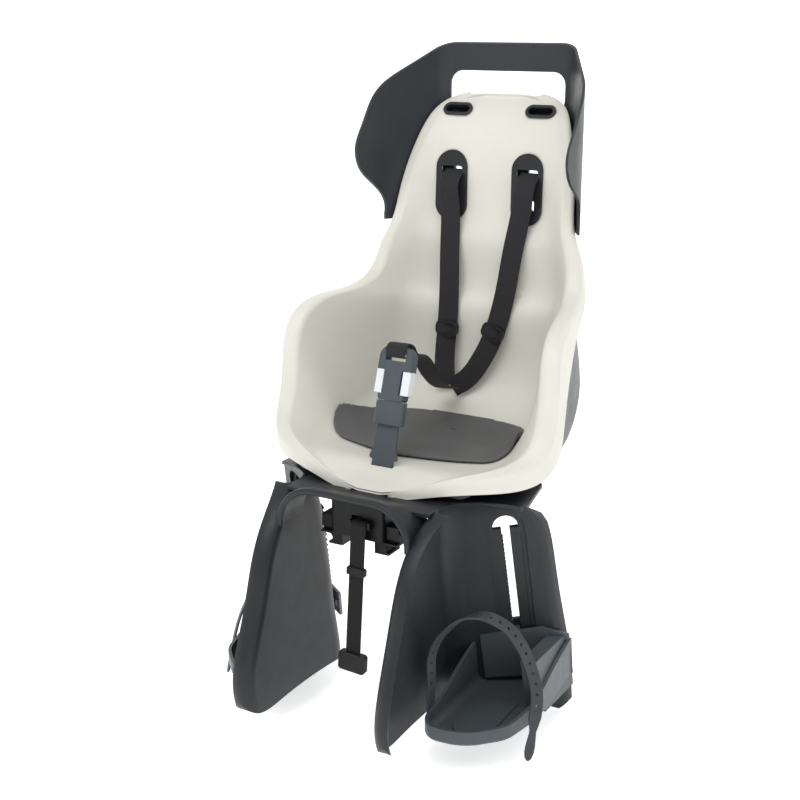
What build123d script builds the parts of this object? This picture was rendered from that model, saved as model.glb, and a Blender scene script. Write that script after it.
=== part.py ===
from build123d import *
from math import acos, cos, hypot, pi, radians, sin, tan
from typing import NamedTuple
import os

# Rear-carrier child seat for a bicycle. Millimetres, +Z up, the seat faces -Y and +X is the
# left-hand side of the seated child. The origin lies on the top plane of the carrier's rails,
# in the seat's middle plane, over the spindle of the carrier clamp.

# Walls and fits
SEAT_WALL = 3.0
SHELL_WALL = 3.0
LEG_WALL = 3.5
NEST_GAP = 0.8
SLIDE_GAP = 0.5
PIN_GAP = 0.05
SKIN_GAP = 0.7

# Seat tub: its sections fan out about an axis along X in front of the child's chest
FAN_Y = 25.0
FAN_Z = 300.0
FLOOR_RADIUS = 60.0
RIM_INNER_RADIUS = 10.0
RIM_OUTER_RADIUS = 6.5
RIM_FALL = 3.0
SHELL_TUCK = 9.0


class Station(NamedTuple):
    """One section of the tub and of the outer shell round it, measured along a ray of the fan."""
    angle: float
    floor: float
    rim: float
    outer: float
    flange: float
    lean: float
    skirt: float
    draft: float
    gap: float
    bowl: float
    bend: float


# From the front lip, over the seat pan and the armrests, up the back to the top edge
STATIONS = [
    Station(-92.9, 248, 245, 30, 10, 10, 8, 0, 4, 24, 20),
    Station(-92, 243, 238, 66, 14, 14, 9, 0, 6, 50, 30),
    Station(-89.5, 233, 226, 104, 18, 18, 14, 0, 8, 86, 30),
    Station(-85, 226, 217, 142, 22, 26, 21, 0, 12, 128, 30),
    Station(-79, 230, 213, 169, 22, 36, 27, 0, 16, 158, 30),
    Station(-71, 242, 204, 187, 22, 46, 35, 0, 18, 170, 32),
    Station(-60, 262, 171, 192, 23, 55, 44, 0, 18, 166, 44),
    Station(-47, 312, 134, 190, 23, 55, 46, 0, 18, 154, 60),
    Station(-33, 329, 131, 186, 23, 56, 42, 0, 20, 142, 70),
    Station(-22, 305, 160, 178, 22, 54, 32, 0, 26, 126, 70),
    Station(-14, 297, 222, 160, 20, 44, 25, 0, 33, 112, 70),
    Station(-5, 293, 250, 148, 18, 40, 18, 1, 41, 102, 60),
    Station(6, 295, 264, 132, 16, 37, 12, 3, 47, 92, 50),
    Station(16, 307, 290, 124.5, 16, 33, 9, 3, 47, 86, 40),
    Station(22.5, 323, 316, 114, 16, 26, 10, 2, 46, 80, 36),
    Station(26, 343, 339, 104, 15, 22, 9, 1, 40, 74, 30),
    Station(28.4, 374, 370, 82, 14, 16, 8, 0, 20, 60, 20),
    Station(29.2, 384, 381, 54, 12, 12, 8, 0, 10, 40, 20),
]

# Head wings and carrying handle, one wall bent round in plan and cut to a side outline
WING_HALF = 148.0
WING_BACK = 370.0
WING_WAIST = (147.0, 280.0)
WING_CORNER_X = 92.0
WING_RADII = [100.0, 32.0, 32.0, 100.0]
WING_WALL = 3.5
WING_LOW = 325.0
WING_TIP = (288.0, 332.0)
WING_EDGE = [(284, 356), (262, 376), (231, 402), (226, 422), (243, 452),
             (270, 488), (301, 512), (331, 530), (356, 545)]
HANDLE_TOP = 556.0
HANDLE_HALF = 82.0
HANDLE_LOW = 466.0
HANDLE_BAR_LOW = 517.0
HANDLE_CORNER = 17.0
SHELF_Z = 460.0
SHELF_FRONT = 356.0

# Leg guard: the wheel runs between the two inner panels
WHEEL_HALF = 82.0
LIP_WIDTH = 18.0
NOSE_RADIUS = 12.0
LEG_CORNER_RADIUS = 34.0
LEG_CURL = 14.0
LEG_CURL_RADIUS = 16.0
WALL_Y0 = -7.5
WALL_SPLAY = 0.61
WALL_LEAN = 0.174


class Level(NamedTuple):
    """One height of a leg: its front edge, how far its hood stands out, and its outer edge."""
    z: float
    front: float
    hood: float
    outer: float


LEVELS = [
    Level(-265, -85, 0, 199),
    Level(-208, -118, 0, 199),
    Level(-165, -129, 0, 198),
    Level(-100, -111, 0, 192),
    Level(-40, -90, 0, 187),
    Level(5, -68, 1, 183),
    Level(30, -44, 4, 178),
    Level(44, -24, 9, 172),
    Level(54, -6, 17, 162),
]
LEG_BOTTOM = [(-136, -150), (-128, -180), (-119, -197), (-102, -206), (-60, -208),
              (50, -211), (110, -224), (150, -248), (230, -252)]
LEG_TOE = (210.0, -256.0)
LEG_TOE_RADIUS = 42.0

# Deck that bridges the wheel and carries the seat
DECK_TOP = 50.0
DECK_WALL = 4.0
DECK_FLAT_HALF = 130.0
DECK_SHOULDER = (170.0, 43.0)
DECK_EDGE = (188.0, 8.0)
DECK_FRONT = -18.0
DECK_REAR = 195.0
DECK_WAIST = (160.0, 150.0)
DECK_REAR_HALF = 128.0
DECK_RADII = [25.0, 60.0, 60.0, 25.0]
ARCH_Z = 38.0
ARCH_RADIUS = 22.0
ARCH_REAR = 0.0
ARCH_FRONT = -48.0
ARCH_CROWN = 61.0
ARCH_FRONT_RADIUS = 55.0
ARCH_ROLL = 4.0
ARCH_WALL = 4.0
RIB_HEIGHT = 10.0
RIB_WALL = 3.0
RIB_X = 42.0
RIB_Y = [40.0, 110.0, 165.0]

# Slot for the footrest in the rear wall of each leg
SLOT_TOP_X = 145.0
SLOT_TOP_Z = 17.0
SLOT_LOW_X = 154.0
SLOT_LOW_Z = -190.0
SLOT_WIDTH = 10.0
SLOT_HEAD_WIDTH = 30.0
SLOT_HEAD_HEIGHT = 17.0
CHANNEL_WIDTH = 46.0
CHANNEL_DEPTH = 3.0
TRACK_WIDTH = 36.0
TRACK_DEPTH = 1.5
CHANNEL_BACKING = 5.5
TOOTH_PITCH = 6.0
TOOTH_DEPTH = 1.4

# Footrest, drawn at its lowest notch
REST_Z = -150.0
REST_FLOOR_Z = -208.0
REST_WALL = 4.0
REST_TOP = -126.0
REST_INNER_X = 104.0
REST_OUTER_X = 208.0
REST_TOE_Y = -58.0
REST_REAR_Y = 150.0
TREAD_X = (128.0, 152.0, 176.0)
TREAD_Y = (-10.0, -34.0, -6.0)
TREAD_REAR = 60.0
TREAD_RISE = 2.0
NECK_HEIGHT = 40.0
GUIDE_WIDTH = 34.0
GUIDE_HEIGHT = 58.0
GUIDE_WALL = 5.0
LATCH_PIN_RADIUS = 2.0
FOOT_STRAP_WIDTH = 16.0
FOOT_STRAP_WALL = 2.6
FOOT_STRAP_GAP = 0.6
FOOT_STRAP_ROOT = [(-22, -199), (-22, -185), (-21, -150), (-18, -118)]
FOOT_STRAP_ARCH = [(114, -8, -92), (140, 8, -74), (168, 26, -84), (188, 36, -110),
                   (201, 39, -140), (211, 34, -166), (214, 22, -196), (214, 6, -238)]
REST_RIM = [(-160, -190), (-80, -189), (-40, -187), (0, -178), (40, -161), (85, -146), (125, -134)]
REST_RIM_SLOPE = (104.0, 50.0, 0.0)
REST_EDGE_RADIUS = 6.0
REST_DISH_RADIUS = 10.0
REST_BACK = [(-46, -212), (62, -222), (62, -165), (30, -150), (-46, -150)]
BLOCK_X = 186.0
BLOCK_TOP = -138.0
LATCH_FROM = -50.0
LATCH_HEIGHT = 36.0
LATCH_WALL = 3.4
PIN_X = 9.0
PIN_STAND = 4.8
LUG_RADIUS = 4.5
LUG_WALL = 4.0

# Carrier clamp
RAIL_RADIUS = 5.0
RAIL_REST_X = 41.0
CLAMP_DEPTH = 34.0
CLAMP_HALF = 36.0
CLAMP_LOW = 3.0
CLAMP_WALL = 3.0
SPINDLE_Z = 14.0
SPINDLE_RADIUS = 4.0
WHEEL_KNOB_RADIUS = 16.0
WHEEL_KNOB_WIDTH = 12.0
JAW_DEPTH = 20.0
JAW_TIP = 52.0
JAW_ROOT = 9.0
JAW_NECK = 13.0
ARM_TOP = 22.0
HOOK_X = 22.0
HOOK_DEPTH = 26.0
HOOK_LIP = 2.5
SPINDLE_HALF = 57.0
KNOB_FLUTES = 16
KNOB_FLUTE_RADIUS = 1.6
CLAMP_SCREW_X = 28.0
CLAMP_SCREW_Y = 12.0
CLAMP_SCREW_LENGTH = 14.0

# Harness
WEB_WIDTH = 25.0
WEB_WALL = 1.6
BAND_SECTIONS = 28
PLATE_X = 54.0
PLATE_WIDTH = 44.0
PLATE_HEIGHT = 92.0
PLATE_Z = 372.0
PLATE_WALL = 2.4
GROMMET_X = 59.0
GROMMET_LENGTH = 42.0
GROMMET_WIDTH = 19.0
GROMMET_WALL = 2.0
BUCKLE_FOOT = (0.0, 44.0, 79.0)
BUCKLE_LEAN = 18.0
BUCKLE_DEPTH = 15.0
SOCKET_WIDTH = 38.0
TONGUE_WIDTH = 44.0
BUTTON_TRAVEL = 2.0
PAD_WALL = 4.0
PAD_GAP = 2.0
PAD_OUTLINE = [(0, 84), (54, 95), (100, 112), (124, 130), (122, 168),
               (106, 215), (84, 246), (40, 255), (0, 256)]
PLATE_HOLES = [(21.0, 30.0, 9.0), (-21.0, 22.0, 16.0)]
CROTCH_WIDTH = 28.0
CROTCH_WALL = 3.0
CROTCH_FOOT = 37.0
CROTCH_ROOT = 11.0
SOCKET_LOW = 44.0
SOCKET_TOP = 72.0
TONGUE_TOP = 138.0
TONGUE_ROUND = 15.0
TONGUE_TAPER = 6.0
TONGUE_BLADE = 20.0
BUTTON_LOW = 8.0
BUTTON_HEIGHT = 28.0
BUTTON_WIDTH = 15.0
BUTTON_DEPTH = 9.0
BUTTON_PROUD = 1.0
BUTTON_GAP = 0.4
GROMMET_RISE = 3.0
GROMMET_SHARE = 0.6
ADJUSTER_HEIGHT = 22.0
ADJUSTER_DEPTH = 7.0
ADJUSTER_RIM = 3.4
ADJUSTER_FRAME = 4.5
ADJUSTER_RADIUS = 9.0
STRAP_RIGHT = [(54, 322, 393), (55, 303, 374), (51, 306, 345), (42, 306, 295),
               (32, 301, 227), (20, 297, 186), (4, 290, 146), (-12, 280, 112)]
STRAP_LEFT = [(-54, 322, 393), (-54, 303, 374), (-50, 307, 345), (-50, 306, 287),
              (-48, 301, 220), (-48, 297, 184), (-48, 291, 146), (-42, 281, 110)]
ADJUSTER_SPOT = 5
LINK = [(0, 128, 190), (-8, 180, 150), (-20, 232, 122), (-27, 268, 110)]
WEB_FOLD = 14.0

# Strap for the bicycle's frame, on the clamp
STRAP_X = 9.0
STRAP_WIDTH = 18.0
STRAP_REACH = 6.5
STRAP_BAR_Z = 24.0
STRAP_BAR_RADIUS = 2.5
STRAP_END = -152.0
STRAP_LEAN = 3.2
FRAME_BUCKLE_WIDTH = 36.0
KEEPER_Z = -34.0

# Screws, bolts and their bosses
SCREW_X = 46.0
SCREW_Z = [235.0, 290.0]
SCREW_RADIUS = 2.0
SCREW_HEAD = 2.5
SCREW_HEAD_RADIUS = 4.5
SCREW_LENGTH = 18.0
BOSS_RADIUS = 6.0
BOLT_X = 57.0
BOLT_Y = [75.0, 150.0]
BOLT_RADIUS = 3.0
BOLT_HEAD = 4.0
BOLT_GRIP = 12.0
FOOT_RADIUS = 11.0
FOOT_HEIGHT = 14.0

# Ribs and racks of the base
HOOD_SHIFT = 1.17
ARCH_FOOT = 12.0
RIB_FRONT = 26.0
CHANNEL_RIM = 6.0
RACK_X = -40.0
RACK_WALL = 4.0
RACK_DEPTH = 11.5
RACK_PITCH = 8.0
RACK_TOOTH = 3.0


def unit(a, b):
    """Direction from point a to point b."""
    length = hypot(b[0] - a[0], b[1] - a[1])
    return (b[0] - a[0]) / length, (b[1] - a[1]) / length


def half_turn(before, corner, after):
    """Half the angle that a chain turns by at a corner, and the turn's side."""
    p = unit(before, corner)
    q = unit(corner, after)
    dot = max(-1.0, min(1.0, p[0] * q[0] + p[1] * q[1]))
    cross = p[0] * q[1] - p[1] * q[0]
    return acos(dot) / 2, 1 if cross > 0 else -1


def fitted(points, radii):
    """The radii, each small enough for the two legs of its corner."""
    result = []
    last = len(points) - 2
    for i, (before, corner, after, radius) in enumerate(zip(points, points[1:], points[2:], radii)):
        room_before = hypot(corner[0] - before[0], corner[1] - before[1]) * (0.9 if i == 0 else 0.45)
        room_after = hypot(corner[0] - after[0], corner[1] - after[1]) * (0.9 if i + 1 == last else 0.45)
        turn, _ = half_turn(before, corner, after)
        result.append(min(radius, min(room_before, room_after) / tan(turn)))
    return result


def beside(points, distance):
    """The corners of a chain parallel to points, at a distance to its left."""
    directions = [unit(a, b) for a, b in zip(points, points[1:])]
    first = points[0]
    corners = [(first[0] - directions[0][1] * distance, first[1] + directions[0][0] * distance)]
    for corner, p, q in zip(points[1:], directions, directions[1:]):
        scale = distance / (1 + p[0] * q[0] + p[1] * q[1])
        corners.append((corner[0] - (p[1] + q[1]) * scale, corner[1] + (p[0] + q[0]) * scale))
    last = points[-1]
    corners.append((last[0] - directions[-1][1] * distance, last[1] + directions[-1][0] * distance))
    return corners


def rounded(points, radii):
    """The lines and arcs of a chain whose inner corners are rounded."""
    edges = []
    start = points[0]
    for before, corner, after, radius in zip(points, points[1:], points[2:], radii):
        p = unit(before, corner)
        q = unit(corner, after)
        turn, _ = half_turn(before, corner, after)
        reach = radius * tan(turn)
        inward = unit((0, 0), (q[0] - p[0], q[1] - p[1]))
        sag = radius / cos(turn) - radius
        entry = (corner[0] - p[0] * reach, corner[1] - p[1] * reach)
        middle = (corner[0] + inward[0] * sag, corner[1] + inward[1] * sag)
        leave = (corner[0] + q[0] * reach, corner[1] + q[1] * reach)
        edges.append(Line(start, entry))
        edges.append(ThreePointArc(entry, middle, leave))
        start = leave
    edges.append(Line(start, points[-1]))
    return edges


def strip(points, radii, wall):
    """Closed outline of a bent wall: a rounded chain and its parallel on the left."""
    kept = fitted(points, radii)
    corners = zip(points, points[1:], points[2:])
    sides = [half_turn(a, b, c)[1] for a, b, c in corners]
    other = beside(points, wall)
    other_radii = [radius - side * wall for radius, side in zip(kept, sides)]
    near = rounded(points, kept)
    far = rounded(other[::-1], other_radii[::-1])
    return Wire(near + [Line(points[-1], other[-1])] + far + [Line(other[0], points[0])])


def mirrored_chain(right):
    """A chain from left to right, from its right half."""
    return [(-x, y) for x, y in reversed(right)] + right


def fan_plane(angle):
    """Section plane of the tub: local x across the seat, local y along the fan's ray."""
    tilt = radians(angle)
    return Plane((0, FAN_Y, FAN_Z), x_dir=(1, 0, 0), z_dir=(0, -sin(tilt), cos(tilt)))


def prism_x(outline, low, high):
    """Solid from a closed side outline in (y, z), between two values of x."""
    face = make_face(Plane.YZ * outline)
    return extrude(Pos(low, 0, 0) * face, amount=high - low, dir=(1, 0, 0))


def prism_y(outline, low, high):
    """Solid from a closed front outline in (x, z), between two values of y."""
    face = make_face(Plane.XZ * outline)
    return extrude(Pos(0, low, 0) * face, amount=high - low, dir=(0, 1, 0))


def prism_z(outline, low, high):
    """Solid from a closed plan outline, between two heights."""
    return extrude(Pos(0, 0, low) * make_face(outline), amount=high - low, dir=(0, 0, 1))


def left_of(shape):
    """The same piece on the other side of the middle plane."""
    return mirror(shape, about=Plane.YZ)


def seat_section(station):
    """Section of the seat tub: pan, side wall, rolled rim and skirt."""
    inner = station.outer - station.flange
    right = [
        (inner - station.lean, station.floor),
        (inner, station.rim),
        (station.outer, station.rim + RIM_FALL),
        (station.outer - station.draft, station.rim + station.skirt),
    ]
    radii = [RIM_OUTER_RADIUS, RIM_INNER_RADIUS, FLOOR_RADIUS]
    outline = strip(mirrored_chain(right), radii + radii[::-1], SEAT_WALL)
    return fan_plane(station.angle) * outline


def shell_section(station):
    """Section of the outer shell, nested inside the seat's skirt."""
    side = station.outer - SEAT_WALL - NEST_GAP - SHELL_WALL - 2 * station.draft
    right = [(station.bowl, station.floor + station.gap), (side, station.rim + SHELL_TUCK)]
    outline = strip(mirrored_chain(right), [station.bend, station.bend], SHELL_WALL)
    return fan_plane(station.angle) * outline


def tub():
    """Seat tub before its holes are cut."""
    return Solid.make_loft([seat_section(s) for s in STATIONS])


def shell_back():
    """Bowl and back of the outer shell."""
    return Solid.make_loft([shell_section(s) for s in STATIONS[2:-2]])


def liner(clearance, wall):
    """A skin laid inside the tub."""
    sections = []
    depth = clearance + wall
    for station in STATIONS:
        inner = station.outer - station.flange
        right = [(inner - station.lean, station.floor), (inner, station.rim)]
        points = beside(mirrored_chain(right), -depth)
        outline = strip(points, [FLOOR_RADIUS - depth] * 2, wall)
        sections.append(fan_plane(station.angle) * outline)
    return Solid.make_loft(sections)


def obround(width, height):
    """Upright slot outline with round ends, centred on the origin of its sketch."""
    return SlotOverall(height, width, rotation=90)


def through_back(outline, x, z):
    """A front outline pushed through the back of the seat."""
    face = Pos(x, 0, z) * (Plane.XZ * outline)
    return extrude(Pos(0, WING_BACK - 120, 0) * face, amount=200, dir=(0, 1, 0))


def grommet_place():
    """Place of a top strap slot: its axis leaves the back at a right angle."""
    low, high = STATIONS[-3], STATIONS[-2]
    a = fan_point(low.angle, low.floor)
    b = fan_point(high.angle, high.floor)
    along = (b - a).normalized()
    middle = a + (b - a) * GROMMET_SHARE
    return Plane((GROMMET_X, middle.Y, middle.Z), x_dir=(1, 0, 0), z_dir=Vector(0, -along.Z, along.Y))


def fan_point(angle, reach):
    """Point of the middle plane on a ray of the fan."""
    tilt = radians(angle)
    return Vector(0, FAN_Y + reach * cos(tilt), FAN_Z + reach * sin(tilt))


def both(shape):
    """A piece and its mirror image."""
    return shape + left_of(shape)


def screw_axes():
    """Places of the screws that hold the tub to the outer shell, from behind."""
    return [(side * SCREW_X, z) for side in (-1, 1) for z in SCREW_Z]


def seat_shell():
    """Seat tub with its strap slots, crotch slot and screw bosses."""
    body = tub()
    place = grommet_place()
    smaller = 2 * (GROMMET_WALL - NEST_GAP)
    oval = SlotOverall(GROMMET_LENGTH - smaller, GROMMET_WIDTH - smaller)
    body -= both(extrude(place * oval, amount=30, both=True))
    for z, width, height in PLATE_HOLES:
        body -= both(through_back(RectangleRounded(width + 2, height + 2, 3), PLATE_X, PLATE_Z + z))
    foot = buckle_plane() * Rectangle(CROTCH_WIDTH + 2, CROTCH_WALL + 2)
    body -= extrude(foot, amount=40, both=True)
    boss = None
    for x, z in screw_axes():
        post = rod_y(x, z, BOSS_RADIUS, FAN_Y + 200, WING_BACK)
        boss = post if boss is None else boss + post
    room = Solid.make_loft([boss_section(s) for s in STATIONS[6:13]])
    boss = boss & room
    for x, z in screw_axes():
        boss -= rod_y(x, z, SCREW_RADIUS + PIN_GAP, screw_seat(z) - SCREW_LENGTH - 1, WING_BACK)
    return body + boss


def boss_section(station):
    """Section of the space between the tub's skin and the outer shell, where the bosses stand."""
    half = station.outer - station.flange - station.lean
    low = station.floor + 1
    high = station.floor + station.gap - NEST_GAP
    corners = [(-half, low), (half, low), (half, high), (-half, high)]
    return fan_plane(station.angle) * Wire.make_polygon(corners)


def wing_chain():
    """Plan line of the wings' outer face, from the left front edge round the back to the right one."""
    return mirrored_chain([(WING_CORNER_X, WING_BACK), WING_WAIST, (WING_HALF, 0)])


def wings():
    """Head wings and handle: a bent wall cut to its side outline, with the handle's opening."""
    plan = strip(wing_chain(), WING_RADII, -WING_WALL)
    wall = prism_z(plan, WING_LOW, HANDLE_TOP + 10)
    corner = (WING_BACK + 5, HANDLE_TOP)
    outline = Wire([
        Spline(WING_TIP, *WING_EDGE, corner),
        Line(corner, (WING_BACK + 5, WING_LOW)),
        Line((WING_BACK + 5, WING_LOW), (WING_TIP[0], WING_LOW)),
        Line((WING_TIP[0], WING_LOW), WING_TIP),
    ])
    wall = wall & prism_x(outline, -WING_HALF - 5, WING_HALF + 5)
    height = HANDLE_BAR_LOW - HANDLE_LOW
    opening = RectangleRounded(2 * HANDLE_HALF, height, HANDLE_CORNER)
    return wall - through_back(opening, 0, HANDLE_LOW + height / 2)


def shelf():
    """Shelf that closes the hollow back under the handle."""
    chain = beside(wing_chain(), -WING_WALL / 2)
    plan = Wire(rounded(chain, [r - WING_WALL / 2 for r in WING_RADII]) + [Line(chain[-1], chain[0])])
    plate = prism_z(plan, SHELF_Z, SHELF_Z + SHELL_WALL)
    return plate & box_between((-WING_HALF, SHELF_FRONT, 0), (WING_HALF, WING_BACK, HANDLE_TOP))


def deck_bosses():
    """Feet of the outer shell, standing on the deck over the four bolts."""
    middle = DECK_TOP + FOOT_HEIGHT / 2
    return [Pos(x, y, middle) * Cylinder(FOOT_RADIUS, FOOT_HEIGHT) for x, y in bolt_places()]


def bolt_places():
    """Plan places of the bolts between the deck and the outer shell."""
    return [(x, y) for x in (-BOLT_X, BOLT_X) for y in BOLT_Y]


def outer_shell():
    """Dark outer shell: bowl, back, head wings and handle in one moulding."""
    body = shell_back() + wings()
    body += shelf()
    for foot in deck_bosses():
        body += foot
    for x, y in bolt_places():
        body -= Pos(x, y, DECK_TOP + BOLT_GRIP / 2) * Cylinder(BOLT_RADIUS + PIN_GAP, BOLT_GRIP)
    for z, width, height in PLATE_HOLES:
        body -= both(through_back(RectangleRounded(width + 10, height + 10, 5), PLATE_X, PLATE_Z + z))
    for x, z in screw_axes():
        body -= rod_y(x, z, SCREW_RADIUS + NEST_GAP, FAN_Y + 200, WING_BACK + 10)
        body -= rod_y(x, z, SCREW_HEAD_RADIUS + NEST_GAP, screw_seat(z), WING_BACK + 10)
    return body


def wall_y(x, z):
    """Front face of a leg's rear wall."""
    return WALL_Y0 + WALL_SPLAY * x - WALL_LEAN * z


def leg_points(level):
    """Front corners of the right leg's wall at one height: lip, nose, inner corner, outer edge, curl."""
    inner = WHEEL_HALF + LEG_WALL + level.hood
    back = level.hood * HOOD_SHIFT
    edge = wall_y(level.outer, level.z) - back
    return [
        (inner + LIP_WIDTH, level.front + LIP_WIDTH / 3),
        (inner, level.front),
        (inner, wall_y(inner, level.z) - back),
        (level.outer, edge),
        (level.outer + LEG_CURL / 5, edge + LEG_CURL),
    ]


def leg_wall():
    """Right leg: a wall that folds from the wheel panel round to the slanted rear wall."""
    radii = [NOSE_RADIUS, LEG_CORNER_RADIUS, LEG_CURL_RADIUS]
    sections = [Pos(0, 0, v.z) * strip(leg_points(v), radii, LEG_WALL) for v in LEVELS]
    wall = Solid.make_loft(sections)
    ends = [(LEG_BOTTOM[-1][0], DECK_TOP + 40), (LEG_BOTTOM[0][0], DECK_TOP + 40)]
    keep = Wire([
        Spline(*LEG_BOTTOM),
        Line(LEG_BOTTOM[-1], ends[0]),
        Line(ends[0], ends[1]),
        Line(ends[1], LEG_BOTTOM[0]),
    ])
    high = DECK_TOP + 60
    front = [(0, high), (0, LEG_TOE[1]), LEG_TOE, (LEG_TOE[0], high)]
    radii = [0.1, LEG_TOE_RADIUS]
    toe = Wire(rounded(front, radii) + [Line(front[-1], front[0])])
    return wall & prism_x(keep, 0, DECK_EDGE[0] + 60) & prism_y(toe, -200, 300)


def slot_plane():
    """Frame of the right slot: local y up along the slot, local z forward out of the wall."""
    top = Vector(SLOT_TOP_X, wall_y(SLOT_TOP_X, SLOT_TOP_Z), SLOT_TOP_Z)
    low = Vector(SLOT_LOW_X, wall_y(SLOT_LOW_X, SLOT_LOW_Z), SLOT_LOW_Z)
    up = (top - low).normalized()
    front = Vector(WALL_SPLAY, -1, -WALL_LEAN).normalized()
    return Plane(top, x_dir=up.cross(front), z_dir=front)


def slot_length():
    """Length of the slot below its head."""
    across = SLOT_LOW_X - SLOT_TOP_X
    drop = SLOT_TOP_Z - SLOT_LOW_Z
    return (across ** 2 + drop ** 2 + (WALL_SPLAY * across + WALL_LEAN * drop) ** 2) ** 0.5


def tombstone(width, top, bottom):
    """Outline of an upright channel with a round top."""
    r = width / 2
    return Wire([
        Line((-r, bottom), (r, bottom)),
        Line((r, bottom), (r, top - r)),
        ThreePointArc((r, top - r), (0, top), (-r, top - r)),
        Line((-r, top - r), (-r, bottom)),
    ])


def slab(outline, low, high):
    """Plate in the slot's frame, between two depths along its local z."""
    plane = slot_plane()
    face = plane * make_face(outline)
    return extrude(Pos(*(plane.z_dir * low)) * face, amount=high - low, dir=plane.z_dir)


def saw_outline(x, bottom, top, depth):
    """Saw-tooth strip along local y with its points towards +x."""
    count = int((top - bottom) / TOOTH_PITCH)
    points = [(x - 2, bottom)]
    for i in range(count):
        points.append((x, bottom + i * TOOTH_PITCH))
        points.append((x + depth, bottom + (i + 0.9) * TOOTH_PITCH))
    points.append((x, bottom + count * TOOTH_PITCH))
    points.append((x - 2, bottom + count * TOOTH_PITCH))
    return Wire.make_polygon(points)


def channel_parts():
    """What is added to and cut from the right rear wall for the footrest's slot."""
    length = slot_length()
    half_head = SLOT_HEAD_HEIGHT / 2
    back = -LEG_WALL - CHANNEL_BACKING
    crown = half_head + CHANNEL_RIM
    low = -length - CHANNEL_RIM
    added = slab(tombstone(CHANNEL_WIDTH + 2 * LEG_WALL, crown + LEG_WALL, low), back, -LEG_WALL / 2)
    cut = slab(tombstone(CHANNEL_WIDTH, crown, low + LEG_WALL), -CHANNEL_DEPTH, 20)
    track = Pos(0, -half_head - length / 2, 0) * Rectangle(TRACK_WIDTH, length - SLOT_HEAD_HEIGHT)
    cut += slab(track.wire(), -CHANNEL_DEPTH - TRACK_DEPTH, 0)
    cut += slab(tombstone(SLOT_HEAD_WIDTH, half_head, -half_head), back - 5, 5)
    slot = Pos(0, -length / 2, 0) * Rectangle(SLOT_WIDTH, length)
    cut += slab(slot.wire(), back - 5, 5)
    saw = saw_outline(-SLOT_WIDTH / 2, -length, -SLOT_HEAD_HEIGHT, TOOTH_DEPTH)
    teeth = slab(saw, back, -CHANNEL_DEPTH - TRACK_DEPTH)
    return added, cut, teeth


def rack():
    """Toothed rail on the back of the right rear wall, where the footrest's latch catches."""
    plane = slot_plane()
    root = plane.origin + plane.x_dir * RACK_X - plane.z_dir * (LEG_WALL - 1)
    side = Plane(root, x_dir=-plane.z_dir, z_dir=plane.x_dir)
    count = int((slot_length() - SLOT_HEAD_HEIGHT) / RACK_PITCH)
    points = [(0, -SLOT_HEAD_HEIGHT)]
    for i in range(count):
        points.append((RACK_DEPTH - RACK_TOOTH, -SLOT_HEAD_HEIGHT - i * RACK_PITCH))
        points.append((RACK_DEPTH, -SLOT_HEAD_HEIGHT - (i + 0.8) * RACK_PITCH))
    end = -SLOT_HEAD_HEIGHT - count * RACK_PITCH
    points += [(RACK_DEPTH - RACK_TOOTH, end), (0, end)]
    face = make_face(side * Wire.make_polygon(points))
    return extrude(face, amount=RACK_WALL / 2, both=True)


def deck_chain():
    """Top line of the deck seen from the front."""
    return mirrored_chain([(DECK_FLAT_HALF, DECK_TOP), DECK_SHOULDER, DECK_EDGE])


def deck_outline():
    """Plan outline of the deck, kept behind the ridges of the two legs."""
    a, b = LEVELS[-2], LEVELS[-1]
    share = (DECK_TOP - 2 - a.z) / (b.z - a.z)
    ridge = Level(*[p + (q - p) * share for p, q in zip(a, b)])
    front = beside(leg_points(ridge)[1:], LEG_WALL / 2)
    right = [(front[0][0] - 22, DECK_FRONT)] + front + [DECK_WAIST, (DECK_REAR_HALF, DECK_REAR)]
    return Wire.make_polygon(mirrored_chain(right))


def arch_chain(crown, inset):
    """Line of the wheel arch seen from the front, up to a height, moved inward."""
    half = WHEEL_HALF + LEG_WALL / 2 - inset
    return [(-half, ARCH_FOOT), (-half, crown - inset), (half, crown - inset), (half, ARCH_FOOT)]


def arch_section(y, crown, radius):
    """Section of the canopy over the wheel at one depth."""
    return Pos(0, y, 0) * (Plane.XZ * strip(arch_chain(crown, 0), [radius] * 2, ARCH_WALL))


def canopy():
    """Canopy that rises forward from the deck to the thick rounded rim of the wheel arch."""
    body = Solid.make_loft([arch_section(ARCH_FRONT, ARCH_CROWN, ARCH_FRONT_RADIUS),
                            arch_section(ARCH_REAR, DECK_TOP - ARCH_WALL, ARCH_RADIUS)], True)
    inset = ARCH_ROLL / 2
    outline = strip(arch_chain(ARCH_CROWN, inset), [ARCH_FRONT_RADIUS - inset] * 2, ARCH_WALL + ARCH_ROLL)
    rim = prism_y(outline, ARCH_FRONT - ARCH_ROLL, ARCH_FRONT + ARCH_ROLL)
    long = [edge for edge in rim.edges() if abs((edge % 0).Y) < 0.5]
    return body + fillet(long, ARCH_ROLL - 0.6)


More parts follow.
